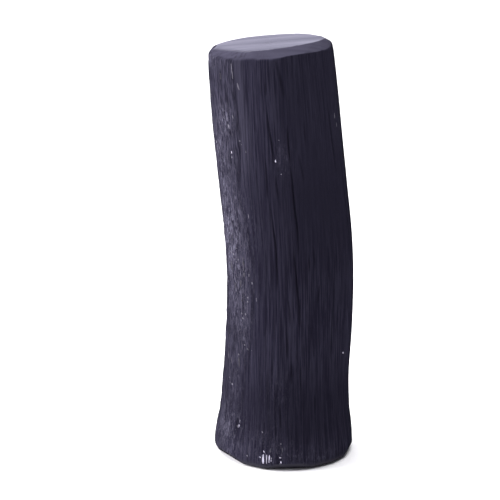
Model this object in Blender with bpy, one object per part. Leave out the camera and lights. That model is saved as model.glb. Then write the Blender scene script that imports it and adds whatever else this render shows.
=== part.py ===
# One stick of hard charcoal for purifying drinking water, standing on its sawn lower end.
# It is a single piece of charred branch: a gently bent shaft that flares at the foot, with
# grain ridges and drying cracks along it, a rough patch of charred bark down its left side,
# a sanded upper end with whittled flats round the rim, and a rounded lower rim with chips.
# The origin is the middle of the lower end. The front is towards -Y, and +X is to the right.

import math
import random

import bmesh
import bpy
from mathutils import Vector

# Driving dimensions, in millimetres and degrees

MM = 0.001
SEED = 12

# Height, shift of the middle to the right, shift to the back, and half width of the shaft
STATIONS = [
    (0, 0.1, 0.2, 20.3),
    (3, 0.1, 0.2, 20.3),
    (7, 0.2, 0.1, 19.9),
    (13, 0.35, 0.1, 19.05),
    (22, 0.6, 0.3, 18.45),
    (35, 1.35, 0.7, 18.35),
    (50, 1.85, 1.0, 18.3),
    (65, 1.3, 1.0, 18.25),
    (80, -0.2, 0.7, 18.1),
    (95, -1.85, 0.2, 17.95),
    (110, -3.35, -0.1, 17.65),
    (126, -4.7, -0.3, 16.85),
]
DEPTH_TO_WIDTH = 0.99

# The sanded upper end
TOP_HEIGHT = 120.2
TOP_MIDDLE = -4.3
TOP_TILT = 4.9

# Whittled flats at the front of the upper rim: direction from the middle of the top,
# counted anticlockwise from +X, distance of the flat's inner edge from that middle, and slope
RIM_FLATS = [
    (-147, 12.6, 17),
    (-126, 13.3, 20),
    (-102, 12.9, 21),
    (-78, 12.3, 16),
    (-64, 12.4, 16),
    (-48, 12.8, 21),
    (-30, 13.6, 31),
    (-16, 15.1, 50),
    (-10, 16.5, 70),
]

# Where the rim is only rounded: direction and distance of the rounding's inner edge, and
# the rounding's steps as distance further out and slope
RIM_CORNERS = [
    (14, 15.2),
    (32, 15.2),
    (50, 15.9),
    (68, 16.9),
    (86, 17.1),
    (104, 17.7),
    (122, 17.9),
    (140, 17.2),
    (158, 16.3),
    (176, 15.4),
    (-168, 15.3),
]
CORNER_STEPS = [(0.0, 28), (0.7, 50), (1.5, 70)]

# The lower rim: how far the foot draws in, and how high the rounding reaches
RIM_ROUND = 1.0
RIM_HEIGHT = 2.2

# Chips knocked off the lower rim: direction, distance from the middle at the foot, slope
# upwards and outwards
CHIPS = [
    (-148, 17.6, 46),
    (-12, 18.9, 52),
    (38, 18.0, 48),
    (116, 17.6, 40),
]

# The mesh: a column follows each grain line, and a ring lies at each height
COLUMNS = 132
RIM_RINGS = (0.0, 0.35, 1.0, 2.2)
RING_STEP = 4.0
TOP_RING = 126.0

# Broad hollows and swellings of the branch: number round it, waves along each 100 mm,
# height of the wave, and phase in turns
SWELLS = [
    (2, 0.6, 0.16, 0.10),
    (3, 0.8, 0.20, 0.35),
    (5, 0.5, 0.08, 0.62),
    (7, 0.9, 0.07, 0.18),
    (11, 0.7, 0.05, 0.81),
    (17, 0.5, 0.04, 0.44),
]

# The grain's sideways wander, in degrees: number round, waves along each 100 mm, swing, phase
WANDERS = [
    (1, 0.9, 0.9, 0.20),
    (3, 1.4, 0.6, 0.70),
    (6, 2.1, 0.35, 0.45),
]

# Furrows between the grain ridges: depth below the crests beside them, at least and at most
FURROW_LOW = 0.2
FURROW_HIGH = 0.5

# Drying cracks that show from the front: angle to the right of the front halfway down the
# crack, upper end, lower end and depth
FRONT_CRACKS = [
    (6.6, 118, 108, 0.5),
    (-6.6, 107, 90, 0.7),
    (9, 102, 88, 0.8),
    (23.6, 101, 95, 0.4),
    (17, 92, 84, 0.5),
    (8.4, 89, 57, 1.0),
    (5, 65, 42, 0.9),
    (-13.2, 79, 52, 0.8),
    (-15.7, 86, 80, 0.4),
    (-6.4, 86, 77, 0.5),
    (-1.2, 54, 40, 0.6),
    (25.6, 55, 47, 0.5),
    (22.6, 67, 58, 0.5),
    (16.8, 63, 55, 0.4),
    (-2.8, 41, 33, 0.5),
    (3, 32, 25, 0.5),
    (-4.8, 20, 12, 0.5),
    (11.8, 31, 21, 0.5),
    (40, 56, 30, 0.5),
    (55.7, 104, 84, 0.5),
]

# Cracks round the sides and the back, drawn at random
BACK_CRACKS = 30
BACK_FROM = 66
BACK_TO = 290
BACK_LENGTHS = (10, 52)
BACK_DEPTHS = (0.45, 1.0)

# Charred bark down the left side: its left edge and its right edge by height, both as
# angles to the right of the front, its upper and lower ends, how far it stands up, how
# rough it is, and how softly it ends
BARK_LEFT = -128
BARK_RIGHT = [
    (0, -56),
    (11, -46),
    (25, -39),
    (43, -35),
    (57, -34),
    (72, -40),
    (81, -42),
    (92, -38),
    (101, -35),
    (109, -32),
    (126, -31),
]
BARK_TOP = 121
BARK_FOOT = -10
BARK_HEIGHT = 0.3
BARK_ROUGH = 0.26
BARK_SIDE_FADE = 5
BARK_END_FADE = 16


def clear_scene():
    for scene_object in list(bpy.data.objects):
        bpy.data.objects.remove(scene_object, do_unlink=True)


def fade(value, start, end):
    """Rise smoothly from 0 at start to 1 at end."""
    share = min(max((value - start) / (end - start), 0.0), 1.0)
    return share * share * (3.0 - 2.0 * share)


def shaft_at(height):
    """Shift to the right, shift to the back and half width of the shaft at a height."""
    after = next((i for i, row in enumerate(STATIONS) if row[0] > height), len(STATIONS) - 1)
    rows = [STATIONS[min(max(after + step, 0), len(STATIONS) - 1)] for step in (-2, -1, 0, 1)]
    span = rows[2][0] - rows[1][0]
    share = (height - rows[1][0]) / span
    values = []
    for part in (1, 2, 3):
        leaving = (rows[2][part] - rows[0][part]) / (rows[2][0] - rows[0][0]) * span
        arriving = (rows[3][part] - rows[1][part]) / (rows[3][0] - rows[1][0]) * span
        values.append(
            rows[1][part] * (2 * share**3 - 3 * share**2 + 1)
            + leaving * (share**3 - 2 * share**2 + share)
            + rows[2][part] * (3 * share**2 - 2 * share**3)
            + arriving * (share**3 - share**2)
        )
    return values


def waves(table, angle, height):
    """Sum of the table's waves at an angle in degrees and a height."""
    total = 0.0
    for number, along, swing, phase in table:
        turns = number * angle / 360.0 + along * height / 100.0 + phase
        total += swing * math.sin(2.0 * math.pi * turns)
    return total


def angle_between(first, second):
    """Smallest difference of two angles in degrees, with its sign."""
    return (first - second + 180.0) % 360.0 - 180.0


def draw_cracks():
    """The cracks by hand at the front, and the random ones round the rest."""
    dice = random.Random(SEED)
    cracks = list(FRONT_CRACKS)
    for number in range(BACK_CRACKS):
        spread = (BACK_TO - BACK_FROM) / BACK_CRACKS
        angle = BACK_FROM + (number + dice.uniform(0.15, 0.85)) * spread
        length = dice.uniform(*BACK_LENGTHS)
        foot = dice.uniform(6, TOP_HEIGHT - 4 - length)
        cracks.append((angle, foot + length, foot, dice.uniform(*BACK_DEPTHS)))
    return cracks


def crack_columns():
    """Cracks by the number of the column that each one runs along."""
    columns = {}
    for angle, upper, lower, depth in draw_cracks():
        straight = angle - waves(WANDERS, angle, (upper + lower) / 2)
        column = round(straight / 360.0 * COLUMNS) % COLUMNS
        columns.setdefault(column, []).append((upper, lower, depth))
    return columns


def crack_depth(cracks, height):
    depth = 0.0
    for upper, lower, deepest in cracks:
        if lower < height < upper:
            share = (height - lower) / (upper - lower)
            depth = max(depth, deepest * math.sqrt(4.0 * share * (1.0 - share)))
    return depth


def bark_edge(height):
    """Angle of the bark's right edge at a height."""
    for (lower, start), (upper, end) in zip(BARK_RIGHT, BARK_RIGHT[1:]):
        if height <= upper:
            return start + (end - start) * (height - lower) / (upper - lower)
    return BARK_RIGHT[-1][1]


def bark_at(angle, height):
    """How much of the bark covers a place, from 0 to 1."""
    aside = angle_between(angle, 0.0) + math.sin(height / 7.0) + 0.7 * math.sin(height / 2.7)
    right = bark_edge(height)
    across = fade(aside, BARK_LEFT, BARK_LEFT + BARK_SIDE_FADE)
    across *= 1.0 - fade(aside, right - BARK_SIDE_FADE, right)
    along = fade(height, BARK_FOOT, BARK_FOOT + BARK_END_FADE)
    return across * along * (1.0 - fade(height, BARK_TOP, BARK_TOP + BARK_END_FADE))


class Grain:
    """Ridges and furrows by turns: each furrow has a random depth that changes along it."""

    def __init__(self):
        dice = random.Random(SEED + 1)
        self.lines = []
        for column in range(COLUMNS):
            furrow = 0.0 if column % 2 else 1.0
            self.lines.append((
                furrow * dice.uniform(FURROW_LOW, FURROW_HIGH),
                dice.uniform(9.0, 24.0),
                dice.uniform(0.0, 2.0 * math.pi),
                dice.uniform(0.0, 2.0 * math.pi),
            ))
        self.cracks = crack_columns()

    def relief(self, column, height):
        """How far the surface stands out of the plain shaft, in millimetres."""
        angle = 360.0 * column / COLUMNS
        furrow, period, phase, roughness_phase = self.lines[column]
        stand = waves(SWELLS, angle, height)
        stand -= furrow * (0.75 + 0.45 * math.sin(height / period + phase))
        bark = bark_at(angle, height)
        flake = math.sin(height * 1.9 + roughness_phase) + math.sin(height * 0.83 + phase)
        stand += bark * (BARK_HEIGHT + BARK_ROUGH * 0.5 * flake)
        stand -= crack_depth(self.cracks.get(column, []), height)
        foot = min(height / RIM_HEIGHT, 1.0)
        stand -= RIM_ROUND * (1.0 - math.sqrt(1.0 - (1.0 - foot) ** 2))
        return stand


def surface_point(grain, column, height):
    """Place of a column's point at a height, in metres. Column 0 faces the front."""
    across, back, radius = shaft_at(height)
    angle = 360.0 * column / COLUMNS
    turned = math.radians(angle + waves(WANDERS, angle, height) - 90.0)
    reach = radius + grain.relief(column, height)
    return Vector((
        (across + reach * math.cos(turned)) * MM,
        (back + reach * math.sin(turned) * DEPTH_TO_WIDTH) * MM,
        height * MM,
    ))


def ring_heights():
    heights = list(RIM_RINGS)
    while heights[-1] + RING_STEP < TOP_RING:
        heights.append(heights[-1] + RING_STEP)
    heights.append(TOP_RING)
    return heights


def grow_shaft(mesh, grain):
    """A closed foot outline, extruded upwards ring by ring along the grain."""
    column_of = mesh.verts.layers.int.new("column")
    heights = ring_heights()
    foot = bmesh.ops.create_circle(mesh, segments=COLUMNS, radius=1.0, cap_ends=True)
    for column, vert in enumerate(foot["verts"]):
        vert[column_of] = column
        vert.co = surface_point(grain, column, heights[0])
    ring = list(mesh.edges)
    for height in heights[1:]:
        grown = bmesh.ops.extrude_edge_only(mesh, edges=ring)["geom"]
        verts = {item for item in grown if isinstance(item, bmesh.types.BMVert)}
        for vert in verts:
            vert.co = surface_point(grain, vert[column_of], height)
        edges = [item for item in grown if isinstance(item, bmesh.types.BMEdge)]
        ring = [edge for edge in edges if edge.verts[0] in verts and edge.verts[1] in verts]
    bmesh.ops.holes_fill(mesh, edges=ring, sides=0)
    bmesh.ops.recalc_face_normals(mesh, faces=mesh.faces)


def slice_off(mesh, point, normal):
    """Take away what lies beyond a plane, and close the cut with a flat face."""
    everything = list(mesh.verts) + list(mesh.edges) + list(mesh.faces)
    cut = bmesh.ops.bisect_plane(
        mesh, geom=everything, dist=1e-7, plane_co=point, plane_no=normal, clear_outer=True)
    rim = [item for item in cut["geom_cut"] if isinstance(item, bmesh.types.BMEdge)]
    bmesh.ops.holes_fill(mesh, edges=rim, sides=0)


def direction(turn, slope):
    """A plane's normal: its turn round Z, and its lean away from straight up."""
    turn = math.radians(turn)
    slope = math.radians(slope)
    return Vector((
        math.sin(slope) * math.cos(turn),
        math.sin(slope) * math.sin(turn),
        math.cos(slope),
    ))


def pare_rim(mesh, turn, distance, slope):
    """One flat off the upper rim, from a line on the sanded end outwards and down."""
    aside = math.cos(math.radians(turn)) * distance
    away = math.sin(math.radians(turn)) * distance
    rise = aside * math.tan(math.radians(TOP_TILT))
    edge = Vector((TOP_MIDDLE + aside, away, TOP_HEIGHT + rise)) * MM
    slice_off(mesh, edge, direction(turn, slope))


def cut_top(mesh):
    """The sanded upper end, the whittled flats and the rounded rest of its rim."""
    middle = Vector((TOP_MIDDLE, 0.0, TOP_HEIGHT)) * MM
    rise = math.tan(math.radians(TOP_TILT))
    slice_off(mesh, middle, Vector((-rise, 0.0, 1.0)).normalized())
    for turn, distance, slope in RIM_FLATS:
        pare_rim(mesh, turn, distance, slope)
    for turn, distance in RIM_CORNERS:
        for further, slope in CORNER_STEPS:
            pare_rim(mesh, turn, distance + further, slope)


def chip_foot(mesh):
    """The chips off the lower rim, each a flat that slopes up and outwards."""
    for turn, distance, slope in CHIPS:
        aside = math.cos(math.radians(turn)) * distance
        away = math.sin(math.radians(turn)) * distance * DEPTH_TO_WIDTH
        slice_off(mesh, Vector((aside, away, 0.0)) * MM, direction(turn, 180.0 - slope))


def charcoal_material():
    """Matt blue-black charcoal."""
    material = bpy.data.materials.new("charcoal")
    material.use_nodes = True
    shader = material.node_tree.nodes["Principled BSDF"]
    shader.inputs["Base Color"].default_value = (0.032, 0.03, 0.043, 1.0)
    shader.inputs["Roughness"].default_value = 0.62
    shader.inputs["Metallic"].default_value = 0.0
    material.diffuse_color = (0.032, 0.03, 0.043, 1.0)
    return material


def make_stick():
    mesh = bmesh.new()
    grow_shaft(mesh, Grain())
    cut_top(mesh)
    chip_foot(mesh)
    bmesh.ops.recalc_face_normals(mesh, faces=mesh.faces)
    data = bpy.data.meshes.new("charcoal_stick")
    mesh.to_mesh(data)
    mesh.free()
    data.shade_smooth()
    data.set_sharp_from_angle(angle=math.radians(35))
    stick = bpy.data.objects.new("charcoal_stick", data)
    stick.data.materials.append(charcoal_material())
    bpy.context.scene.collection.objects.link(stick)


clear_scene()
make_stick()
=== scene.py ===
import math
import random

import bmesh
import bpy
import numpy as np
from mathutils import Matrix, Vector


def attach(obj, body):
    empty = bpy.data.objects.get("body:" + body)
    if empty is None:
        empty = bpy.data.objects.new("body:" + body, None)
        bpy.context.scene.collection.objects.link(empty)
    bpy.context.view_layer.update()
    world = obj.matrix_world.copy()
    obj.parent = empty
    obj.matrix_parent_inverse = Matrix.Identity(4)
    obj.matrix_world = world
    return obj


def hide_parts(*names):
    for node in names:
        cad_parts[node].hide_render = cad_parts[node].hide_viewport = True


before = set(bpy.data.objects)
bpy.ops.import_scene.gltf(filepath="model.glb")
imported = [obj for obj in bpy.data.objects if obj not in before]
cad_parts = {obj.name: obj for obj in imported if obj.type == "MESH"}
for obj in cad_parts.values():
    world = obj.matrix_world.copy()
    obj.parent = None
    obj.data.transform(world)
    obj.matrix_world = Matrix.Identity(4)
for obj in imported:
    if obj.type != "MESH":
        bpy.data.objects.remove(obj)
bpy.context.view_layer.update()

mm = 0.001
noiseHeight = 130.0  # mm up the stick that a noise's rows cover
print("frame loaded")


def smooth(share):
    return share * share * (3.0 - 2.0 * share)


def fade(value, start, end):
    return smooth(np.clip((value - start) / (end - start), 0.0, 1.0))


def angleFrom(angle, middle):
    return (angle - middle + 180.0) % 360.0 - 180.0


def sector(angle, right, rightFade, left, leftFade):
    # 1 between two directions, fading out at each
    return fade(-angleFrom(angle, right), 0, rightFade) * fade(angleFrom(angle, left), 0, leftFade)


def waves(table, angle, height):
    total = np.zeros_like(angle)
    for number, along, swing, phase in table:
        turns = number * angle / 360.0 + along * height / 100.0 + phase
        total += swing * np.sin(2.0 * np.pi * turns)
    return total


def patchNoise(seed, around, along, angle, height):
    # smooth random values from -1 to 1: so many cells round the stick, so many up it
    grid = np.random.default_rng(seed).uniform(-1.0, 1.0, (along + 3, around))
    u = angle / 360.0 * around
    v = np.clip(height / noiseHeight, 0.0, 1.0) * along
    column = np.floor(u).astype(int)
    row = np.floor(v).astype(int)
    across = smooth(u - column)
    up = smooth(v - row)
    left = column % around
    right = (column + 1) % around
    low = grid[row, left] * (1 - across) + grid[row, right] * across
    high = grid[row + 1, left] * (1 - across) + grid[row + 1, right] * across
    return low * (1 - up) + high * up


def layeredNoise(layers, angle, height):
    # a layer is: its share, seed, cells round the stick, cells up it
    return sum(share * patchNoise(seed, around, along, angle, height)
               for share, seed, around, along in layers)


# The stick's form, in mm and degrees. Angles count to the right of the front, which faces -Y.
shaftForm = {
    "stations": [  # height, shift right, shift back, half width
        (0, 0.1, 0.2, 20.3),
        (3, 0.1, 0.2, 20.3),
        (7, 0.2, 0.1, 19.9),
        (13, 0.35, 0.1, 19.05),
        (22, 0.6, 0.3, 18.45),
        (35, 1.35, 0.7, 18.35),
        (50, 1.85, 1.0, 18.3),
        (65, 1.3, 1.0, 18.25),
        (80, -0.2, 0.7, 18.1),
        (95, -1.85, 0.2, 17.95),
        (110, -3.35, -0.1, 17.65),
        (126, -4.7, -0.3, 16.85),
    ],
    "depthToWidth": 0.99,
    "usualRadius": 18.3,
    "swells": [  # number round it, waves along each 100 mm, height, phase in turns
        (2, 0.6, 0.16, 0.10),
        (3, 0.8, 0.20, 0.35),
        (5, 0.5, 0.08, 0.62),
        (7, 0.9, 0.07, 0.18),
        (11, 0.7, 0.05, 0.81),
        (17, 0.5, 0.04, 0.44),
    ],
    "wanders": [  # the grain's sideways drift: number round, waves along, swing, phase
        (1, 0.9, 0.8, 0.20),
        (3, 1.4, 0.4, 0.70),
        (6, 2.1, 0.2, 0.45),
    ],
    "upright": (0.35, 1.0, 50.0),  # how far the grain stays plumb above and below this height
    "turnSteps": 4,
    "rimRound": 1.3,
    "rimHeight": 2.2,
}


def shaftAt(height):
    # shift right, shift back and half width, on a smooth curve through the stations
    rows = np.array(shaftForm["stations"], float)
    last = len(rows) - 1
    after = np.clip(np.searchsorted(rows[:, 0], height, side="right"), 1, last)
    a, b, c, d = (rows[np.clip(after + step, 0, last)] for step in (-2, -1, 0, 1))
    span = c[..., :1] - b[..., :1]
    share = (height[..., None] - b[..., :1]) / span
    leaving = (c[..., 1:] - a[..., 1:]) / (c[..., :1] - a[..., :1]) * span
    arriving = (d[..., 1:] - b[..., 1:]) / (d[..., :1] - b[..., :1]) * span
    values = b[..., 1:] * (2 * share**3 - 3 * share**2 + 1)
    values = values + leaving * (share**3 - 2 * share**2 + share)
    values = values + c[..., 1:] * (3 * share**2 - 2 * share**3)
    values = values + arriving * (share**3 - share**2)
    return values[..., 0], values[..., 1], values[..., 2]


def grainTurn(angle, height):
    # the grain wanders, and leans less than the stick does
    above, below, change = shaftForm["upright"]
    aside = shaftAt(np.array([change]))[0][0] - shaftAt(height)[0]
    hold = np.where(height > change, above, below)
    lean = np.degrees(aside / shaftForm["usualRadius"]) * hold * np.cos(np.radians(angle))
    return waves(shaftForm["wanders"], angle, height) + lean


def unturned(turned, height):
    # the angle that the grain's turn brings to this one
    angle = turned
    for step in range(shaftForm["turnSteps"]):
        angle = turned - grainTurn(angle, height)
    return angle


# Drying cracks: upper end and lower end as (angle, height), then depth and half width
crackForm = {
    "seed": 12,
    "front": [
        ((4.4, 118), (8.9, 108), 0.22, 0.40),
        ((-6.7, 112), (-7.5, 108), 0.18, 0.22),
        ((-8.1, 104), (-6.4, 88), 0.34, 0.20),
        ((8.3, 100), (7.5, 89), 0.36, 0.20),
        ((24.2, 101), (23.1, 95), 0.18, 0.20),
        ((15.3, 92), (18.6, 84), 0.20, 0.20),
        ((7.4, 89), (7.4, 63), 0.42, 0.21),
        ((2.3, 65), (7.7, 42), 0.42, 0.21),
        ((-13.8, 78), (-12.4, 53), 0.36, 0.21),
        ((-14.1, 91), (-15.8, 79), 0.26, 0.20),
        ((-6.1, 86), (-5.9, 79), 0.25, 0.20),
        ((-3.2, 50), (-0.6, 42), 0.28, 0.20),
        ((25.3, 54), (23.8, 48), 0.28, 0.20),
        ((21.2, 65), (21.3, 59), 0.26, 0.20),
        ((15.9, 63), (16.1, 58), 0.22, 0.20),
        ((-3.3, 41), (-2.3, 33), 0.28, 0.20),
        ((2.0, 32), (3.9, 25), 0.28, 0.20),
        ((-5.7, 20), (-4.0, 12), 0.26, 0.20),
        ((10.8, 31), (12.9, 21), 0.26, 0.20),
        ((26.2, 22), (26.3, 16), 0.22, 0.20),
        ((40.5, 56), (39.5, 30), 0.26, 0.20),
        ((55.0, 104), (56.5, 84), 0.26, 0.20),
        ((-37.7, 114), (-37.0, 103), 0.12, 0.24),
        ((-36.9, 104), (-36.8, 97), 0.12, 0.22),
        ((-36.9, 95), (-42.6, 80), 0.14, 0.22),
    ],
    "backCount": 30,
    "backFrom": 66,
    "backTo": 290,
    "backPlace": (0.15, 0.85),  # where in its share of the back a crack may lie
    "lowest": 6,
    "belowTop": 4,
    "lengths": (10, 52),
    "depths": (0.22, 0.46),
    "backWidth": 0.22,
    "lean": 2.5,
    "wobble": 0.4,
    "wobbleSeed": 500,
    "wobbleCells": 22,
    "endReach": 0.5,  # share of the half width at a crack's ends, and what its middle has more
    "middleReach": 0.6,
    "fullShadeDepth": 0.45,  # a crack this deep gets the full painted shade in its colour
}


def drawCracks():
    dice = random.Random(crackForm["seed"])
    cracks = list(crackForm["front"])
    spread = (crackForm["backTo"] - crackForm["backFrom"]) / crackForm["backCount"]
    highest = topEnd["height"] - crackForm["belowTop"]
    for number in range(crackForm["backCount"]):
        angle = crackForm["backFrom"] + (number + dice.uniform(*crackForm["backPlace"])) * spread
        length = dice.uniform(*crackForm["lengths"])
        foot = dice.uniform(crackForm["lowest"], highest - length)
        depth = dice.uniform(*crackForm["depths"])
        lean = crackForm["lean"] * length / crackForm["lengths"][1]
        ends = (angle - lean, foot + length), (angle + lean, foot)
        cracks.append((*ends, depth, crackForm["backWidth"]))
    return cracks


def crackDepth(turned, height, radius):
    depthMap = np.zeros_like(turned)
    for number, (upper, lower, depth, width) in enumerate(drawCracks()):
        share = np.clip((height - lower[1]) / (upper[1] - lower[1]), 0.0, 1.0)
        strength = np.sqrt(4.0 * share * (1.0 - share))
        middle = lower[0] + (upper[0] - lower[0]) * share
        middle = middle + crackForm["wobble"] * patchNoise(
            crackForm["wobbleSeed"] + number, 1, crackForm["wobbleCells"], np.zeros_like(height), height)
        aside = np.radians(angleFrom(turned, middle)) * radius
        reach = width * (crackForm["endReach"] + crackForm["middleReach"] * strength)
        groove = np.exp(-(aside / reach) ** 2) * depth * strength
        depthMap = np.maximum(depthMap, groove)
    return depthMap


# The grain: main ridges, with finer strands and furrows over them
ridgeForm = {
    "columns": 132,
    "low": 0.16,
    "high": 0.42,
    "share": 0.14,
    "periods": (9.0, 24.0),
    "steady": 0.75,
    "swing": 0.45,
    "strands": [  # height, seed, cells round the stick, cells up it
        (0.028, 10, 130, 14),
        (0.032, 11, 210, 16),
        (0.025, 12, 280, 22),
    ],
    "furrows": [
        (1.0, 13, 190, 13),
        (0.6, 14, 60, 20),
    ],
    "furrowFade": (0.45, 0.85),
    "furrowDepth": 0.07,
}

# How strongly the grain stands out: more low down, and calmer at the upper right
strengthForm = {
    "usual": 0.95,
    "patches": [(0.45, 15, 12, 5)],
    "lowMore": 0.55,
    "lowFade": (35, 75),
    "rightLess": 0.65,
    "rightFade": (-12, 22),
    "rightHeights": (55, 85),
    "limits": (0.2, 1.7),
}


def mainRidges(angle, height):
    dice = random.Random(crackForm["seed"] + 1)
    columns = ridgeForm["columns"]
    ridges = []
    for column in range(columns):
        side = 0.5 if column % 2 else -0.5
        stand = side * dice.uniform(ridgeForm["low"], ridgeForm["high"])
        ridges.append((stand, dice.uniform(*ridgeForm["periods"]), dice.uniform(0.0, 2.0 * math.pi)))
        dice.random()  # an unused draw, which keeps the ridges as they are
    ridges = np.array(ridges)
    place = angle / 360.0 * columns
    first = np.floor(place).astype(int)
    share = smooth(place - first)
    total = np.zeros_like(angle)
    for step, weight in ((0, 1 - share), (1, share)):
        stand, period, phase = np.moveaxis(ridges[(first + step) % columns], -1, 0)
        swell = ridgeForm["steady"] + ridgeForm["swing"] * np.sin(height / period + phase)
        total += weight * stand * swell
    return total * ridgeForm["share"]


def grainStrength(angle, height):
    form = strengthForm
    strength = form["usual"] + layeredNoise(form["patches"], angle, height)
    strength += form["lowMore"] * (1 - fade(height, *form["lowFade"]))
    right = form["rightLess"] * fade(angleFrom(angle, 0.0), *form["rightFade"])
    strength -= right * fade(height, *form["rightHeights"])
    return np.clip(strength, *form["limits"])


def fineGrain(angle, height):
    grain = layeredNoise(ridgeForm["strands"], angle, height)
    furrow = fade(layeredNoise(ridgeForm["furrows"], angle, height), *ridgeForm["furrowFade"])
    return (grain - ridgeForm["furrowDepth"] * furrow) * grainStrength(angle, height)


# Charred bark down the left side, with its right-hand edge as (height, angle)
barkForm = {
    "rightEdge": [
        (0, -56), (11, -46), (25, -39), (43, -35), (57, -34), (70, -37),
        (80, -44.5), (87, -39.8), (92, -37.7), (97, -36.4), (101, -35.9),
        (104, -36.5), (107, -36.8), (110, -36.9), (114, -37.2), (117, -37.6),
    ],
    "left": -128,
    "top": 121,
    "foot": -10,
    "height": 0.30,
    "edgeFade": 3.0,
    "overEdge": 0.3,  # share of the fade that lies past the right-hand edge
    "leftFade": 2,  # times the right-hand edge's
    "endFade": 16,
    "ragged": [(1.2, 31, 1, 26), (0.8, 32, 1, 70)],  # layers of noise, in degrees
    "leftRagged": 3.0,
    "flake": 0.085,
    "lumps": [(1.0, 21, 100, 40), (0.7, 22, 190, 96)],
    "plate": (-0.1, 0.2),
    "blister": (0.5, 0.65),
    "fibres": [(1.0, 23, 270, 30), (0.6, 24, 270, 124)],
    "secondShare": 0.7,  # of blisters and fibres beside the plates
    "lowColorFade": 11.0,  # its colour ends more softly low down
    "lowColorHeights": (50, 80),
}

# The wood is paler just right of the bark's upper half, in degrees from the bark's edge
fairForm = {
    "start": (-0.5, 0.8),
    "end": (4, 13),
    "heights": (76, 92),
}

# How black the char is, as height and share, on the bare wood and on the bark
charForm = {
    "wood": [(4, 0.0), (11, 0.55), (20, 0.60), (32, 0.12), (46, 0.0), (58, 0.35), (80, 0.33), (94, 0.0)],
    "bark": [(22, 0.38), (40, 0.19), (58, 0.0)],
}

# Patches of ash dust: angle, height, reach sideways in degrees, reach along, amount
dustPatches = [
    (-70, 64, 24, 21, 1.0),
    (-70, 91, 14, 8, 0.35),
    (-54, 100.5, 10, 3.5, 0.75),
    (-74, 117.5, 18, 3, 0.5),
    (-46, 42, 9, 10, 0.27),
    (-54, 21, 12, 12, 0.14),
    (-62, 8, 20, 7, 0.5),
    (-16, 6, 14, 5, 0.25),
    (12, 2.5, 38, 4, 0.24),
    (0, 91, 8, 5, 0.14),
    (-8, 22, 16, 8, 0.08),
    (150, 30, 40, 26, 0.4),
    (-150, 88, 30, 30, 0.5),
    (100, 96, 24, 20, 0.3),
]


def barkEdge(height):
    return np.interp(height, *zip(*barkForm["rightEdge"]))


def barkCover(turned, height, edgeFade):
    aside = angleFrom(turned, 0.0)
    ragged = layeredNoise(barkForm["ragged"], np.zeros_like(height), height)
    right = barkEdge(height) + ragged
    left = barkForm["left"] + barkForm["leftRagged"] * ragged
    across = fade(aside, left, left + barkForm["leftFade"] * edgeFade)
    across = across * (1 - fade(aside, right - edgeFade, right + barkForm["overEdge"] * edgeFade))
    along = fade(height, barkForm["foot"], barkForm["foot"] + barkForm["endFade"])
    return across * along * (1 - fade(height, barkForm["top"], barkForm["top"] + barkForm["endFade"]))


def barkFlakes(angle, height):
    # small plates and grit of the charred bark
    lumps = layeredNoise(barkForm["lumps"], angle, height)
    second = barkForm["secondShare"]
    plates = fade(lumps, *barkForm["plate"]) - 0.5 + second * fade(lumps, *barkForm["blister"])
    return barkForm["flake"] * (plates + second * layeredNoise(barkForm["fibres"], angle, height))


def fairCover(turned, height):
    beside = angleFrom(turned, 0.0) - barkEdge(height)
    across = fade(beside, *fairForm["start"]) * (1 - fade(beside, *fairForm["end"]))
    return across * fade(height, *fairForm["heights"])


def charCover(height, bark):
    wood = np.interp(height, *zip(*charForm["wood"]))
    return wood * (1 - bark) + np.interp(height, *zip(*charForm["bark"])) * bark


def dustCover(turned, height):
    spread = np.zeros_like(turned)
    for middle, level, wide, tall, amount in dustPatches:
        aside = angleFrom(turned, middle) / wide
        above = (height - level) / tall
        spread = spread + amount * np.exp(-aside**2 - above**2)
    return np.clip(spread, 0, 1)


# The sanded upper end and the whittled flats round it: direction anticlockwise from +X,
# distance of the inner edge from the middle, slope
topEnd = {
    "height": 120.2,
    "middle": -4.3,
    "tilt": 4.9,
    "flats": [
        (-106, 12.9, 26),
        (-92, 12.6, 17),
        (-78, 12.3, 14.5),
        (-64, 12.5, 14.5),
        (-48, 13.0, 20),
        (-30, 13.9, 27),
        (-16, 15.3, 44),
        (-147, 12.1, 22.5),
        (-126, 13.2, 29),
        (-168, 15.3, 28),
    ],
    "corners": [  # where the rim is only rounded: direction, distance
        (14, 15.2), (32, 15.2), (50, 15.9), (68, 16.9), (86, 17.1), (104, 17.7),
        (122, 17.9), (140, 17.2), (158, 16.3), (176, 15.4), (-168, 15.3),
    ],
    "cornerSteps": [(0.0, 28), (0.7, 50), (1.5, 70)],  # further out, slope
    "shoulder": [(-10, 16.5, 70)],
    "shoulderFade": 0.08,
    "parings": 2,
    "paredFade": 0.03,
}

# Chips off the lower rim: direction, distance from the middle at the foot, slope
footEnd = {
    "chips": [
        (-148, 17.9, 46),
        (-86, 18.1, 45),
        (-12, 18.7, 52),
        (38, 18.0, 48),
        (116, 17.6, 40),
    ],
    "band": 1.7,  # the paler band along the lower edge, a painted reflection of the pale floor, and how much wider it is at a chip
    "chipBand": 0.6,
    "chipFade": 0.1,
    "bandFade": 0.6,
}

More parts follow.
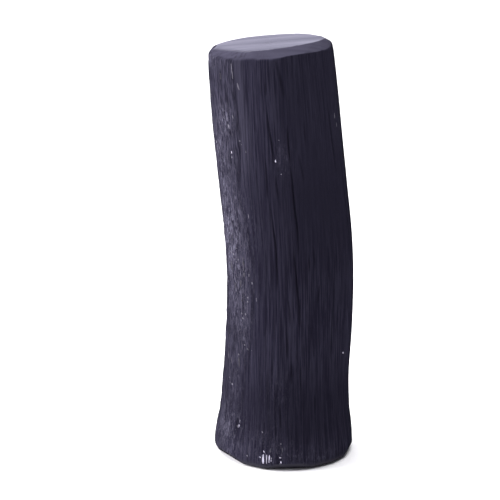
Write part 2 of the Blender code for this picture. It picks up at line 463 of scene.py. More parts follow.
# Wear of the whittled rim. Sectors are: right side, its fade, left side, its fade
rimWear = {
    "mottled": (-22.0, 6, -100.0, 20),
    "left": (12.0, 35, -160.0, 20),
    "leftEnd": (-62.0, 18),
    "sandedDepth": 0.06,
    "mottledDepth": 0.5,
    "mottledShare": 0.55,
    "mottledReach": (11.5, 15.5),
    "fray": [(1.0, 42, 90, 30)],
    "fraySwing": (0.05, 0.25),  # everywhere, and more at the left
    "frayFade": (0.4, 0.8, -0.9),  # everywhere, at the left, and at the left end
    "pits": [(1.0, 41, 110, 60)],
    "pitStretch": 4.0,
    "pitDepth": 0.10,
    "easings": 14,
    "easedHeights": (114.8, 116.0),
    "easedRings": 24,
    "easedShare": (0.12, 0.38),
    "leastBeside": 0.2,
    "wornHeights": (112.0, 116.5),
}

meshDetail = {
    "columns": 560,
    "footLevels": [0.0, 0.08, 0.25, 0.55, 1.0, 1.5, 2.2, 3.0],
    "shaftFrom": 4.0,
    "shaftStep": 1.05,
    "rimFrom": 114.5,
    "rimStep": 0.26,
    "nearRings": 21,  # close together inside the upper rim
    "nearStep": 0.0135,
    "farRings": [0.32, 0.38, 0.47, 0.6, 0.75, 0.9],
    "footRings": (0.92, 0.75, 0.55, 0.35, 0.22, 0.14, 0.09, 0.06, 0.04, 0.02),
}


def topPoint():
    return np.array([topEnd["middle"], 0.0, topEnd["height"]])


def topPlane(across):
    rise = math.tan(math.radians(topEnd["tilt"]))
    return topEnd["height"] + (across - topEnd["middle"]) * rise


def planeNormal(turn, slope):
    turn = math.radians(turn)
    slope = math.radians(slope)
    return np.array([
        math.sin(slope) * math.cos(turn),
        math.sin(slope) * math.sin(turn),
        math.cos(slope),
    ])


def pareFlat(points, place, normal):
    beyond = np.maximum((points - place) @ normal, 0.0)
    points -= beyond[..., None] * normal
    return beyond


def rimPlace(turn, distance):
    # a place on the tilted top
    aside = math.cos(math.radians(turn)) * distance
    away = math.sin(math.radians(turn)) * distance
    return topPoint() + np.array([aside, away, aside * math.tan(math.radians(topEnd["tilt"]))])


def sidePoints(angle, height, lift=0.0):
    across, back, radius = shaftAt(height)
    turned = angle + grainTurn(angle, height)
    bark = barkCover(turned, height, barkForm["edgeFade"])
    stand = waves(shaftForm["swells"], angle, height)
    stand += mainRidges(angle, height) + fineGrain(angle, height)
    stand += bark * (barkForm["height"] + barkFlakes(angle, height))
    stand -= crackDepth(turned, height, radius)
    foot = np.clip(height / shaftForm["rimHeight"], 0.0, 1.0)
    stand -= shaftForm["rimRound"] * (1.0 - np.sqrt(1.0 - (1.0 - foot) ** 2))
    direction = np.radians(turned - 90.0)
    reach = radius + stand + lift
    return np.stack([
        across + reach * np.cos(direction),
        back + reach * np.sin(direction) * shaftForm["depthToWidth"],
        height,
    ], axis=-1)


def sideRows():
    # angles and points of the side, row by row from the foot to the top
    columns = meshDetail["columns"]
    angles = np.arange(columns) * 360.0 / columns
    rimBase = meshDetail["rimFrom"]
    shaftRows = np.arange(meshDetail["shaftFrom"], rimBase, meshDetail["shaftStep"])
    levels = np.concatenate([meshDetail["footLevels"], shaftRows])
    heights = np.repeat(levels[:, None], columns, axis=1)

    topGuess = sidePoints(angles, np.full(columns, topEnd["height"]))
    rimCount = round((topEnd["height"] - rimBase) / meshDetail["rimStep"])
    shares = np.linspace(0.0, 1.0, rimCount + 1)[:, None]
    rimHeights = rimBase + shares * (topPlane(topGuess[:, 0]) - rimBase)[None, :]

    heights = np.concatenate([heights, rimHeights])
    angles = np.repeat(angles[None, :], len(heights), axis=0)
    return angles, sidePoints(angles, heights)


def ringsInward(outer, middle, shares):
    return np.stack([outer + (middle - outer) * share for share in shares])


def closedRows():
    # the side's rows with the rings that close each end, and the side's first and last row
    angles, points = sideRows()
    nearShares = np.arange(1, meshDetail["nearRings"] + 1) * meshDetail["nearStep"]
    topRings = ringsInward(points[-1], topPoint(), [*nearShares, *meshDetail["farRings"]])
    footRings = ringsInward(points[0], np.zeros(3), meshDetail["footRings"])
    surface = np.concatenate([footRings, points, topRings])
    angles = np.repeat(angles[:1], len(surface), axis=0)
    firstSide = len(footRings)
    return surface, angles, firstSide, firstSide + len(points) - 1


def pareTop(surface):
    # cuts the flats and rounds the corners, and returns how deep the flats cut
    pared = np.zeros(surface.shape[:2])
    for again in range(topEnd["parings"]):
        for turn, distance, slope in topEnd["flats"]:
            cut = pareFlat(surface, rimPlace(turn, distance), planeNormal(turn, slope))
            pared = np.maximum(pared, cut)
        for turn, distance in topEnd["corners"]:
            for further, slope in topEnd["cornerSteps"]:
                pareFlat(surface, rimPlace(turn, distance + further), planeNormal(turn, slope))
        for turn, distance, slope in topEnd["shoulder"]:
            cut = pareFlat(surface, rimPlace(turn, distance), planeNormal(turn, slope))
            pared = pared * (1 - fade(cut, 0.0, topEnd["shoulderFade"]))
    return pared


def chipFoot(surface):
    chipped = np.zeros(surface.shape[:2])
    for turn, distance, slope in footEnd["chips"]:
        aside = math.cos(math.radians(turn)) * distance
        away = math.sin(math.radians(turn)) * distance * shaftForm["depthToWidth"]
        edge = np.array([aside, away, 0.0])
        chipped = np.maximum(chipped, pareFlat(surface, edge, planeNormal(turn, 180 - slope)))
    return chipped


def easeRim(surface, share, paredMask):
    for easing in range(rimWear["easings"]):
        between = (surface[:-2] + surface[2:]) / 2
        surface[1:-1] += (between - surface[1:-1]) * share[1:-1, :, None]
        beside = (np.roll(surface, 1, axis=1) + np.roll(surface, -1, axis=1)) / 2
        sideShare = share * np.maximum(paredMask, rimWear["leastBeside"])
        surface += (beside - surface) * sideShare[..., None]


def wearRim(surface, angles, turned, row, lastSide, pared):
    # roughens and eases the rim, and returns where it is sanded, pared, mottled and left
    mottle = sector(turned, *rimWear["mottled"])
    outward = np.hypot(surface[..., 0] - topEnd["middle"], surface[..., 1])
    below = topPlane(surface[..., 0]) - surface[..., 2]
    sandedFade = rimWear["sandedDepth"] + rimWear["mottledDepth"] * mottle
    sanded = (row >= lastSide) * (1 - fade(below, 0.0, sandedFade))
    sanded = sanded * (1 - rimWear["mottledShare"] * mottle * fade(outward, *rimWear["mottledReach"]))

    left = sector(turned, *rimWear["left"])
    across, back, radius = shaftAt(surface[..., 2])
    reach = np.hypot(surface[..., 0] - across, (surface[..., 1] - back) / shaftForm["depthToWidth"])
    usual, more = rimWear["fraySwing"]
    frayed = radius - reach + (usual + more * left) * layeredNoise(
        rimWear["fray"], angles, surface[..., 2])
    leftEnd, endFade = rimWear["leftEnd"]
    endward = fade(-angleFrom(turned, leftEnd), 0, endFade) * left
    usual, leftMore, endMore = rimWear["frayFade"]
    paredMask = fade(frayed, 0.0, usual + leftMore * left + endMore * endward)
    paredMask = paredMask * fade(pared, 0.0, topEnd["paredFade"]) * (1 - sanded)
    pits = layeredNoise(rimWear["pits"], angles, rimWear["pitStretch"] * outward)
    surface[..., 2] += rimWear["pitDepth"] * np.minimum(pits * mottle * paredMask, 0.0)

    usual, more = rimWear["easedShare"]
    eased = fade(surface[..., 2], *rimWear["easedHeights"]) * (row < lastSide + rimWear["easedRings"])
    easeRim(surface, eased * (usual + more * left), paredMask)
    return sanded, paredMask, mottle, left


def stickSurface():
    surface, angles, firstSide, lastSide = closedRows()
    row = np.arange(len(surface))[:, None] * np.ones((1, surface.shape[1]))
    side = (row >= firstSide) * (row <= lastSide)
    pared = pareTop(surface)
    chipped = chipFoot(surface)
    turned = angles + grainTurn(angles, surface[..., 2])
    sanded, paredMask, mottle, left = wearRim(surface, angles, turned, row, lastSide, pared)

    height = surface[..., 2]
    bare = side * (1 - paredMask)
    softer = barkForm["lowColorFade"] * (1 - fade(height, *barkForm["lowColorHeights"]))
    bark = barkCover(turned, height, barkForm["edgeFade"] + softer)
    # painted shade: the deeper a crack, the darker its colour
    cracked = crackDepth(turned, height, shaftForm["usualRadius"]) / crackForm["fullShadeDepth"]
    chips = fade(chipped, 0.0, footEnd["chipFade"])
    # painted reflection: the lower edge is made paler where it would catch light from the floor
    floorReflectionBand = footEnd["band"] - height + footEnd["chipBand"] * chips
    masks = {
        "sanded": sanded,
        "pared": paredMask,
        "mottle": mottle * paredMask,
        "footRimFloorReflection": fade(floorReflectionBand, 0.0, footEnd["bandFade"]) * side,
        "sawn": (row < firstSide) * 1.0,
        "bark": bark * bare,
        "charred": charCover(height, bark) * side,
        "fair": fairCover(turned, height) * side,
        "crack": np.clip(cracked, 0, 1) * bare,
        "dusty": dustCover(turned, height) * side,
        "coarse": grainStrength(angles, height),
        "worn": fade(height, *rimWear["wornHeights"]) * left,
    }
    return surface, angles, masks


def ringFaces(total, columns):
    # squares between the rows, then a fan of triangles at the foot and at the top
    footTip = total * columns
    topTip = footTip + 1
    faces = []
    for row in range(total - 1):
        base = row * columns
        above = base + columns
        for column in range(columns):
            side = (column + 1) % columns
            faces.append((base + column, base + side, above + side, above + column))
    lastBase = (total - 1) * columns
    for column in range(columns):
        side = (column + 1) % columns
        faces.append((footTip, side, column))
        faces.append((topTip, lastBase + column, lastBase + side))
    return faces


def placePiece(mesh, name):
    mesh.shade_smooth()
    piece = bpy.data.objects.new(name, mesh)
    bpy.context.scene.collection.objects.link(piece)
    print(name, "has", len(mesh.polygons), "faces")
    return piece


def buildStick():
    surface, angles, masks = stickSurface()
    verts = np.concatenate([surface.reshape(-1, 3), [np.zeros(3), topPoint()]])
    mesh = bpy.data.meshes.new("charcoalStick")
    mesh.from_pydata((verts * mm).tolist(), [], ringFaces(*angles.shape))
    mesh.update()

    # the grain straightened out, in mm: textures follow its wander with it
    radians = np.radians(angles)
    radius = shaftForm["usualRadius"]
    straight = np.stack([np.sin(radians) * radius, -np.cos(radians) * radius, surface[..., 2]], axis=-1)
    straight = np.concatenate([straight.reshape(-1, 3), [[0, 0, 0], [0, 0, topEnd["height"]]]])
    layer = mesh.attributes.new("grainSpace", "FLOAT_VECTOR", "POINT")
    layer.data.foreach_set("vector", straight.astype(np.float32).ravel())
    for name, mask in masks.items():
        layer = mesh.attributes.new(name, "FLOAT", "POINT")
        tips = [float(name == "sawn"), float(name == "sanded")]
        layer.data.foreach_set("value", np.concatenate([mask.ravel(), tips]).astype(np.float32))
    return placePiece(mesh, "stick_surface")


# Pale ash and torn fibre: angle, height, width, length, lean in degrees, paleness
ashForm = {
    "flecks": [
        (-39.6, 114.4, 0.48, 4.80, -5, 0.117),
        (-54.4, 112.5, 0.76, 2.21, -3, 0.045),
        (-34.2, 110.2, 0.46, 2.30, -14, 0.108),
        (-42.3, 101.6, 0.36, 1.10, -6, 0.132),
        (64.8, 100.9, 0.50, 1.84, 3, 0.110),
        (-54.7, 100.8, 0.34, 1.20, -67, 0.132),
        (-50.7, 100.7, 0.32, 1.30, 49, 0.110),
        (-48.9, 98.7, 0.40, 1.40, -15, 0.198),
        (67.2, 98.2, 0.50, 1.60, -4, 0.102),
        (-0.3, 95.9, 0.60, 0.30, -22, 0.123),
        (-37.1, 95.0, 0.34, 0.50, 6, 0.132),
        (-36.1, 94.0, 0.30, 0.50, 7, 0.099),
        (-73.4, 93.0, 0.80, 0.80, -16, 0.220),
        (-32.2, 92.1, 0.36, 0.70, -3, 0.099),
        (-48.2, 91.3, 0.62, 0.75, 10, 0.441),
        (-72.4, 91.3, 0.60, 1.30, -5, 0.099),
        (-5.1, 90.0, 0.27, 0.78, 0, 0.800),
        (-48.6, 89.9, 0.42, 0.66, 10, 0.237),
        (-72.1, 88.0, 0.60, 0.48, -28, 0.045),
        (-1.5, 86.3, 0.54, 0.26, -6, 0.259),
        (-67.4, 74.2, 0.50, 0.57, -17, 0.067),
        (-36.5, 73.5, 0.30, 1.60, 0, 0.132),
        (-59.6, 66.1, 0.81, 2.41, 5, 0.060),
        (-54.2, 63.3, 0.94, 0.29, -19, 0.100),
        (-59.2, 62.4, 0.48, 0.91, 15, 0.130),
        (-64.2, 61.6, 0.50, 0.75, -7, 0.132),
        (-62.2, 61.5, 1.28, 0.26, -10, 0.120),
        (-58.3, 61.2, 0.52, 0.80, -12, 0.150),
        (-52.1, 60.1, 0.40, 0.57, -7, 0.120),
        (-56.5, 60.0, 0.45, 0.63, -15, 0.120),
        (-46.1, 59.9, 0.52, 2.76, -2, 0.075),
        (-55.3, 59.2, 0.43, 0.52, -6, 0.120),
        (-63.0, 57.7, 0.84, 3.10, 2, 0.060),
        (-45.5, 56.7, 0.51, 3.20, -3, 0.070),
        (-39.6, 56.3, 0.40, 0.82, -2, 0.130),
        (-36.6, 54.1, 0.42, 0.93, -2, 0.160),
        (-50.2, 53.3, 0.52, 2.37, 1, 0.060),
        (-57.5, 51.7, 0.66, 2.67, 0, 0.060),
        (-32.5, 49.5, 0.40, 1.22, -5, 0.120),
        (-41.6, 49.5, 0.41, 0.75, -9, 0.120),
        (-48.1, 48.4, 0.38, 0.86, -13, 0.053),
        (-41.7, 48.4, 0.52, 0.52, -11, 0.120),
        (-48.0, 44.6, 0.45, 0.69, -18, 0.120),
        (-43.8, 44.6, 0.42, 0.75, -9, 0.140),
        (-46.5, 43.2, 0.56, 0.64, -18, 0.140),
        (-43.0, 35.5, 0.38, 0.58, -10, 0.130),
        (-39.9, 34.6, 0.58, 0.54, 3, 0.110),
        (-38.9, 34.4, 0.34, 0.64, -12, 0.059),
        (-35.4, 34.3, 0.55, 0.29, -13, 0.080),
        (-49.7, 32.2, 0.60, 0.70, -20, 0.100),
        (59.4, 31.8, 0.70, 0.70, -27, 0.370),
        (63.6, 31.3, 0.55, 0.63, -19, 0.050),
        (-67.2, 30.6, 0.56, 2.61, -9, 0.090),
        (-48.9, 30.1, 0.63, 3.21, -7, 0.050),
        (-61.2, 29.5, 0.51, 2.33, -9, 0.050),
        (-62.5, 24.1, 0.71, 0.60, -32, 0.080),
        (-60.6, 22.9, 0.56, 0.47, -21, 0.090),
        (-57.3, 22.7, 0.66, 0.75, -14, 0.180),
        (-43.5, 12.7, 0.28, 1.10, 2, 0.220),
        (-44.0, 11.3, 0.50, 1.00, 3, 0.476),
        (-20.1, 11.1, 0.30, 0.70, -16, 0.215),
        (-45.5, 11.0, 0.28, 1.22, -13, 0.132),
        (-3.9, 8.1, 0.32, 0.60, -7, 0.156),
        (-2.6, 6.3, 0.20, 1.76, -4, 0.099),
        (-12.1, 6.0, 0.22, 1.54, 5, 0.118),
        (-17.6, 5.5, 0.34, 0.75, -33, 0.620),
        (-4.1, 4.0, 0.70, 0.36, -5, 0.474),
        (-20.4, 3.7, 0.46, 0.61, -48, 0.463),
        (-11.2, 3.6, 0.30, 0.71, 3, 0.291),
        (-32.5, 3.4, 0.36, 0.50, -18, 0.256),
        (-12.9, 3.4, 0.36, 2.73, 2, 0.723),
        (-17.9, 3.3, 0.54, 3.24, -1, 0.674),
        (-15.0, 3.3, 0.36, 3.06, -1, 0.465),
        (-11.3, 3.1, 0.30, 1.09, 2, 0.400),
        (-3.3, 2.6, 0.32, 0.95, -4, 0.574),
        (-52.3, 2.3, 0.45, 0.53, -19, 0.090),
        (-4.2, 2.2, 0.24, 0.60, -4, 0.092),
    ],
    "seed": 7,
    "backCount": 60,  # small ones at random over the back
    "backAngles": (80, 275),
    "backHeights": [(3, 30), (6, 112), (86, 110)],
    "lowest": 2.4,
    "strokeChance": 0.12,
    "strokeLengths": (1.4, 3.2),
    "dotLengths": (0.4, 0.9),
    "backWidths": (0.28, 0.5),
    "backLeans": (-8, 8),
    "backPaleness": (0.04, 0.22),
    "thickness": 0.06,
    "sunk": 0.10,
    "bedding": 0.02,
    "blunt": 0.7,
    "uneven": 0.35,
    "unevenWaves": (2, 5),
    "unevenPhase": (0, 6),
    "alongPoints": 9,
    "acrossPoints": 5,
}


def drawFlecks():
    dice = random.Random(ashForm["seed"])
    flecks = list(ashForm["flecks"])
    for number in range(ashForm["backCount"]):
        angle = dice.uniform(*ashForm["backAngles"])
        height = dice.choice([dice.uniform(*span) for span in ashForm["backHeights"]])
        stroke = dice.random() < ashForm["strokeChance"]
        width = dice.uniform(*ashForm["backWidths"])
        length = dice.uniform(*ashForm["strokeLengths" if stroke else "dotLengths"])
        height = max(height, ashForm["lowest"] + length / 2)
        paleness = dice.uniform(*ashForm["backPaleness"])
        flecks.append((angle, height, width, length, dice.uniform(*ashForm["backLeans"]), paleness))
    return flecks


def buildAsh():
    # each fleck is a thin lens on the surface, its lower half sunk in
    dice = random.Random(ashForm["seed"] + 1)
    verts = []
    faces = []
    shades = []
    along = ashForm["alongPoints"]
    across = ashForm["acrossPoints"]
    s, t = np.meshgrid(np.linspace(-1, 1, along), np.linspace(-1, 1, across), indexing="ij")
    taper = np.sqrt(np.clip(1 - s**2, 0, 1)) ** ashForm["blunt"]
    dome = taper * (1 - t**2)
    upper = dome * ashForm["thickness"] - ashForm["bedding"]
    lower = -dome * ashForm["sunk"] - ashForm["bedding"]
    for angle, height, width, length, lean, paleness in drawFlecks():
        wave = s * dice.uniform(*ashForm["unevenWaves"]) + dice.uniform(*ashForm["unevenPhase"])
        uneven = 1 + ashForm["uneven"] * np.sin(wave)
        aside = t * taper * uneven * width / 2 + s * length / 2 * math.sin(math.radians(lean))
        heights = height + s * length / 2 * math.cos(math.radians(lean))
        angles = unturned(angle + np.degrees(aside / shaftAt(heights)[2]), heights)
        start = len(verts)
        for lift in (upper, lower):
            verts.extend((sidePoints(angles, heights, lift) * mm).reshape(-1, 3).tolist())
        under = along * across
        shades.extend([paleness] * (2 * under))
        for i in range(along - 1):
            for j in range(across - 1):
                a = start + i * across + j
                faces.append((a, a + 1, a + across + 1, a + across))
                faces.append((a + under, a + under + across, a + under + across + 1, a + under + 1))
    mesh = bpy.data.meshes.new("ashFlecks")
    mesh.from_pydata(verts, [], faces)
    mesh.attributes.new("paleness", "FLOAT", "POINT").data.foreach_set("value", shades)
    weldClose(mesh)
    return placePiece(mesh, "ash_flecks")


def weldClose(mesh):
    close = 1e-7
    edit = bmesh.new()
    edit.from_mesh(mesh)
    bmesh.ops.remove_doubles(edit, verts=edit.verts, dist=close)
    bmesh.ops.dissolve_degenerate(edit, edges=edit.edges, dist=close)
    bmesh.ops.recalc_face_normals(edit, faces=edit.faces)
    edit.to_mesh(mesh)
    edit.free()


# Node helpers. A socket takes a number or colour, or the output that is linked to it.
def addNode(tree, kind, **settings):
    node = tree.nodes.new(kind)
    for key, value in settings.items():
        setattr(node, key, value)
    return node


def feed(tree, node, values):
    for name, value in values.items():
        socket = node.inputs[name]
        if isinstance(value, bpy.types.NodeSocket):
            tree.links.new(value, socket)
        else:
            socket.default_value = value
    return node


def newGroup(name, takes, gives):
    group = bpy.data.node_groups.new(name, "ShaderNodeTree")
    for socketName, kind, start in takes:
        socket = group.interface.new_socket(socketName, in_out="INPUT", socket_type=kind)
        if start is not None:
            socket.default_value = start
    for socketName, kind in gives:
        group.interface.new_socket(socketName, in_out="OUTPUT", socket_type=kind)
    return group, addNode(group, "NodeGroupInput"), addNode(group, "NodeGroupOutput")


def placeGroup(tree, group, place, values):
    node = addNode(tree, "ShaderNodeGroup", node_tree=group)
    return feed(tree, node, {"Place": place, **values}).outputs["Mask"]


def mapRange(tree, value, limits):
    node = addNode(tree, "ShaderNodeMapRange")
    return feed(tree, node, {"Value": value, **limits}).outputs["Result"]


def mixColors(tree, mask, first, second):
    # the colour mix's own sockets: 0 is its factor, 6 and 7 its colours
    mix = addNode(tree, "ShaderNodeMix", data_type="RGBA")
    return feed(tree, mix, {0: mask, 6: first, 7: second}).outputs[2]


def calculate(tree, operation, first, second):
    node = addNode(tree, "ShaderNodeMath", operation=operation)
    return feed(tree, node, {0: first, 1: second}).outputs["Value"]


def scaledPlace(tree, place, across, along):
    scale = feed(tree, addNode(tree, "ShaderNodeCombineXYZ"), {"X": across, "Y": across, "Z": along})
    scaled = addNode(tree, "ShaderNodeVectorMath", operation="MULTIPLY")
    return feed(tree, scaled, {0: place, 1: scale.outputs["Vector"]}).outputs["Vector"]


def objectPlace(tree, scale, turn=0.0):
    # the object's own coordinates, turned about the vertical and scaled
    return feed(tree, addNode(tree, "ShaderNodeMapping"), {
        "Vector": addNode(tree, "ShaderNodeTexCoord").outputs["Object"],
        "Rotation": (0.0, 0.0, math.radians(turn)),
        "Scale": scale,
    }).outputs["Vector"]


def readMask(tree, name):
    return addNode(tree, "ShaderNodeAttribute", attribute_name=name).outputs["Fac"]


def makeStreakGroup():
    # long streaks along the grain: a mask from 0 to 1
    group, takes, gives = newGroup("grainStreaks", [
        ("Place", "NodeSocketVector", None),
        ("Across", "NodeSocketFloat", 1.0),
        ("Along", "NodeSocketFloat", 0.05),
        ("From", "NodeSocketFloat", 0.35),
        ("To", "NodeSocketFloat", 0.65),
        ("Curl", "NodeSocketFloat", 0.0),
    ], [("Mask", "NodeSocketFloat")])
    given = takes.outputs
    noise = feed(group, addNode(group, "ShaderNodeTexNoise"), {
        "Vector": scaledPlace(group, given["Place"], given["Across"], given["Along"]),
        "Scale": 1.0,
        "Detail": 3.0,
        "Roughness": 0.62,
        "Distortion": given["Curl"],
    })
    limits = {"From Min": given["From"], "From Max": given["To"]}
    feed(group, gives, {"Mask": mapRange(group, noise.outputs["Fac"], limits)})
    return group


dustForm = {
    "noneAt": 1.08,  # the noise that an amount of 0 would need
    "patchiness": 0.9,
    "softness": 0.25,
}


def makeDustGroup():
    # fine pale dust in patches: a mask from 0 to 1
    group, takes, gives = newGroup("ashDust", [
        ("Place", "NodeSocketVector", None),
        ("Grain", "NodeSocketFloat", 3.0),
        ("Patch", "NodeSocketFloat", 0.2),
        ("Amount", "NodeSocketFloat", 0.4),
    ], [("Mask", "NodeSocketFloat")])
    given = takes.outputs
    grit = feed(group, addNode(group, "ShaderNodeTexNoise"), {
        "Vector": given["Place"], "Scale": given["Grain"], "Detail": 2.0})
    patch = feed(group, addNode(group, "ShaderNodeTexNoise"), {
        "Vector": given["Place"], "Scale": given["Patch"], "Detail": 3.0})
    uneven = calculate(group, "SUBTRACT", patch.outputs["Fac"], 0.5)
    uneven = calculate(group, "MULTIPLY", uneven, dustForm["patchiness"])
    both = calculate(group, "ADD", grit.outputs["Fac"], uneven)
    level = calculate(group, "SUBTRACT", dustForm["noneAt"], given["Amount"])
    full = calculate(group, "ADD", level, dustForm["softness"])
    feed(group, gives, {"Mask": mapRange(group, both, {"From Min": level, "From Max": full})})
    return group


charcoalLook = {
    "dark": (0.0110, 0.0100, 0.0185, 1.0),
    "light": (0.0245, 0.0228, 0.0374, 1.0),
    "charred": (0.0095, 0.0087, 0.0155, 1.0),
    "fair": (0.0220, 0.0206, 0.0325, 1.0),
    "fairPale": (0.0380, 0.0356, 0.0545, 1.0),
    # painted shade inside the cracks
    "crack": (0.0042, 0.0038, 0.0072, 1.0),
    "bark": (0.0125, 0.0117, 0.0190, 1.0),
    "barkPale": (0.0360, 0.0338, 0.0518, 1.0),
    "powder": (0.0500, 0.0475, 0.0670, 1.0),
    "wisp": (0.1300, 0.1240, 0.1690, 1.0),
    # painted shade at the outline
    "paintedOutlineShadeColor": (0.0030, 0.0030, 0.0032, 1.0),
    # painted reflection of the floor on the lower edge
    "footRimFloorReflection": (0.0385, 0.0370, 0.0480, 1.0),
    "pared": (0.0393, 0.0370, 0.0562, 1.0),
    "paredPale": (0.0523, 0.0495, 0.0732, 1.0),
    "paredDark": (0.0260, 0.0240, 0.0360, 1.0),
    # the sanded top: partly its own pale tone, partly painted sheen of the grazing light it would
    # reflect
    "sanded": (0.110, 0.108, 0.141, 1.0),
    "sandedPale": (0.166, 0.163, 0.208, 1.0),
    "sawn": (0.022, 0.020, 0.030, 1.0),
    "specular": 0.0,
    "roughness": 0.6,
    "bump": 0.00003,
    "threadLeast": 0.4,
    "threadMiddle": 0.45,  # coarse grain spreads the threads' tones from this one
    "paintedOutlineShade": {"From Min": 0.72, "From Max": 0.95, "To Max": 0.75},
    "sandingScale": (40.0, 1000.0, 1000.0),  # marks are long along X
    "sandingTurn": -10.0,
}

# Settings of the streak and dust groups for each marking of the charcoal
charcoalMarks = {
    "fine": {"Across": 2.6, "Along": 0.08, "From": 0.38, "To": 0.60},
    "broad": {"Across": 0.35, "Along": 0.03, "From": 0.3, "To": 0.7},
    "bark": {"Across": 2.6, "Along": 0.22, "From": 0.44, "To": 0.62},
    "powder": {"Grain": 2.4, "Patch": 0.25, "Amount": 0.60},
    "wisps": {"Across": 1.7, "Along": 0.42, "From": 0.51, "To": 0.66, "Curl": 1.2},
    "whittling": {"Across": 0.5, "Along": 0.5, "From": 0.3, "To": 0.7},
    "blotches": {"Grain": 1.1, "Patch": 0.3, "Amount": 0.58},
    "sanding": {"Across": 0.20, "Along": 0.20, "From": 0.36, "To": 0.64},
}


def threadMask(tree, fine, broad):
    # pale threads, clearer where the grain is coarse
    middle = charcoalLook["threadMiddle"]
    threads = calculate(tree, "ADD", charcoalLook["threadLeast"], broad)
    threads = calculate(tree, "MULTIPLY", fine, threads)
    threads = calculate(tree, "SUBTRACT", threads, middle)
    threads = calculate(tree, "MULTIPLY", threads, readMask(tree, "coarse"))
    return calculate(tree, "ADD", threads, middle)


def paintedOutlineShadeMask(tree):
    # painted shade: the outline darkens where the side turns away from the camera, except at the worn
    # rim
    facing = addNode(tree, "ShaderNodeLayerWeight").outputs["Facing"]
    paintedOutlineShade = mapRange(tree, facing, charcoalLook["paintedOutlineShade"])
    whole = calculate(tree, "SUBTRACT", 1.0, readMask(tree, "worn"))
    return calculate(tree, "MULTIPLY", paintedOutlineShade, whole)


def charcoalMaterial(streaks, dust):
    look = charcoalLook
    material = bpy.data.materials.new("charcoal")
    material.use_nodes = True
    tree = material.node_tree
    grain = addNode(tree, "ShaderNodeAttribute", attribute_name="grainSpace").outputs["Vector"]
    plain = objectPlace(tree, look["sandingScale"], look["sandingTurn"])
    dusty = readMask(tree, "dusty")

    def marks(name, place=grain):
        group = dust if "Grain" in charcoalMarks[name] else streaks
        return placeGroup(tree, group, place, charcoalMarks[name])

    def blend(mask, first, second):
        return mixColors(tree, mask, first, second)

    # the side: wood, bark, char and dust, with painted shade in the cracks and at the outline, and a
    # painted floor reflection along the lower edge
    fine = marks("fine")
    threads = threadMask(tree, fine, marks("broad"))
    wood = blend(threads, look["dark"], look["light"])
    bark = blend(marks("bark"), look["bark"], look["barkPale"])
    fair = blend(threads, look["fair"], look["fairPale"])
    color = blend(readMask(tree, "bark"), wood, bark)
    color = blend(readMask(tree, "fair"), color, fair)
    color = blend(readMask(tree, "charred"), color, look["charred"])
    color = blend(calculate(tree, "MULTIPLY", marks("powder"), dusty), color, look["powder"])
    color = blend(calculate(tree, "MULTIPLY", marks("wisps"), dusty), color, look["wisp"])
    # painted shade in the cracks
    color = blend(readMask(tree, "crack"), color, look["crack"])
    # painted reflection of the floor along the lower edge
    color = blend(readMask(tree, "footRimFloorReflection"), color, look["footRimFloorReflection"])
    # painted shade where the side turns away from the camera
    color = blend(paintedOutlineShadeMask(tree), color, look["paintedOutlineShadeColor"])

    # the ends: whittled rim, sanded top with painted sheen, and sawn foot
    blotches = calculate(tree, "MULTIPLY", marks("blotches"), readMask(tree, "mottle"))
    pared = blend(marks("whittling", plain), look["pared"], look["paredPale"])
    pared = blend(blotches, pared, look["paredDark"])
    # painted sheen: the sanded top is made pale in its colour, since it has no specular reflection
    sanded = blend(marks("sanding", plain), look["sanded"], look["sandedPale"])
    color = blend(readMask(tree, "pared"), color, pared)
    color = blend(readMask(tree, "sanded"), color, sanded)
    color = blend(readMask(tree, "sawn"), color, look["sawn"])

    bump = feed(tree, addNode(tree, "ShaderNodeBump"), {
        "Height": fine, "Distance": look["bump"], "Strength": 1.0})
    feed(tree, tree.nodes["Principled BSDF"], {
        "Base Color": color,
        "Roughness": look["roughness"],
        "Specular IOR Level": look["specular"],
        "Normal": bump.outputs["Normal"],
    })
    return material


ashLook = {
    "full": (0.84, 0.805, 1.0, 1.0),
    "none": (0.0, 0.0, 0.0, 1.0),
    "fibre": {"Across": 2.2, "Along": 0.4, "From": 0.3, "To": 0.6},
    "fibreLeast": 0.7,
    "fibreMore": 0.4,
    "scale": (1000.0, 1000.0, 1000.0),
    "roughness": 0.8,
    "specular": 0.0,
}


def ashMaterial(streaks):
    look = ashLook
    material = bpy.data.materials.new("ash")
    material.use_nodes = True
    tree = material.node_tree
    fibre = placeGroup(tree, streaks, objectPlace(tree, look["scale"]), look["fibre"])
    uneven = calculate(tree, "MULTIPLY", fibre, look["fibreMore"])
    uneven = calculate(tree, "ADD", look["fibreLeast"], uneven)
    shade = calculate(tree, "MULTIPLY", readMask(tree, "paleness"), uneven)
    feed(tree, tree.nodes["Principled BSDF"], {
        "Base Color": mixColors(tree, shade, look["none"], look["full"]),
        "Roughness": look["roughness"],
        "Specular IOR Level": look["specular"],
    })
    return material


floorLook = {
    "size": 12.0,  # metres
    "place": (0, 0, -0.0002),
    "color": (0.9, 0.9, 0.91, 1.0),
    "roughness": 0.9,
    "specular": 0.1,
}


def paleFloor():
    material = bpy.data.materials.new("paleFloor")
    material.use_nodes = True
    feed(material.node_tree, material.node_tree.nodes["Principled BSDF"], {
        "Base Color": floorLook["color"],
        "Roughness": floorLook["roughness"],
        "Specular IOR Level": floorLook["specular"],
    })
    bpy.ops.mesh.primitive_plane_add(size=floorLook["size"], location=floorLook["place"])
    floor = bpy.context.object
    floor.name = "pale_floor"
    floor.data.materials.append(material)


cameraPlace = {
    "sideways": -9.95,  # from the stick, in mm
    "distance": 504.0,
    "height": 193.47,
    "pitch": 14.817,
    "lens": 130.03,
    "sensor": 36.0,
    "nearest": 0.01,  # metres
    "furthest": 20.0,
}


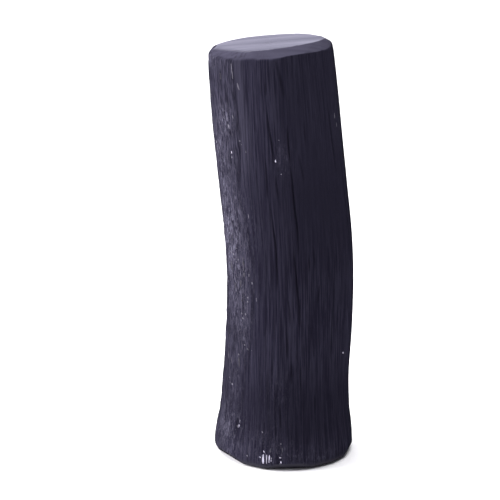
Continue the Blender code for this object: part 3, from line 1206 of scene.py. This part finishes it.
def setCamera():
    data = bpy.data.cameras.new("camera")
    data.lens = cameraPlace["lens"]
    data.sensor_width = cameraPlace["sensor"]
    data.clip_start = cameraPlace["nearest"]
    data.clip_end = cameraPlace["furthest"]
    camera = bpy.data.objects.new("camera", data)
    camera.location = (
        cameraPlace["sideways"] * mm, -cameraPlace["distance"] * mm, cameraPlace["height"] * mm)
    camera.rotation_euler = (math.radians(90.0 - cameraPlace["pitch"]), 0.0, 0.0)
    bpy.context.scene.collection.objects.link(camera)
    bpy.context.scene.camera = camera


# Lights: place in metres, disk size, power in watts, tint; and the room's own light,
# which is darker towards the right
lightPlan = {
    "softboxes": {
        "overhead": ((0.0, 0.40, 1.9), 2.4, 78.0, (1.0, 0.99, 1.0)),
        "leftKey": ((-0.55, 0.0, 0.28), 0.42, 7.0, (1.0, 0.98, 1.0)),
    },
    "aim": (0.0, 0.0, 0.06),
    "room": (0.93, 0.92, 1.0, 1.0),
    "roomShade": {"From Min": -0.2, "From Max": 0.8, "To Min": 0.44, "To Max": 0.07},
}


def setLights():
    for name, (place, size, power, tint) in lightPlan["softboxes"].items():
        data = bpy.data.lights.new(name, "AREA")
        data.shape = "DISK"
        data.size = size
        data.energy = power
        data.color = tint
        light = bpy.data.objects.new(name, data)
        light.location = place
        aim = Vector(lightPlan["aim"]) - Vector(place)
        light.rotation_euler = aim.to_track_quat("-Z", "Y").to_euler()
        bpy.context.scene.collection.objects.link(light)


def setRoom():
    world = bpy.data.worlds.new("studio")
    world.use_nodes = True
    tree = world.node_tree
    split = feed(tree, addNode(tree, "ShaderNodeSeparateXYZ"), {
        "Vector": addNode(tree, "ShaderNodeTexCoord").outputs["Generated"]})
    feed(tree, tree.nodes["Background"], {
        "Color": lightPlan["room"],
        "Strength": mapRange(tree, split.outputs["X"], lightPlan["roomShade"]),
    })
    bpy.context.scene.world = world
    bpy.context.scene.view_settings.view_transform = "Standard"


stick = buildStick()
ash = buildAsh()
streaks = makeStreakGroup()
dust = makeDustGroup()
stick.data.materials.append(charcoalMaterial(streaks, dust))
ash.data.materials.append(ashMaterial(streaks))
for piece in (stick, ash):
    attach(piece, "root")
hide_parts("charcoal_stick")
print("materials set")

paleFloor()
setCamera()
setLights()
setRoom()
print("floor, camera and lights set")
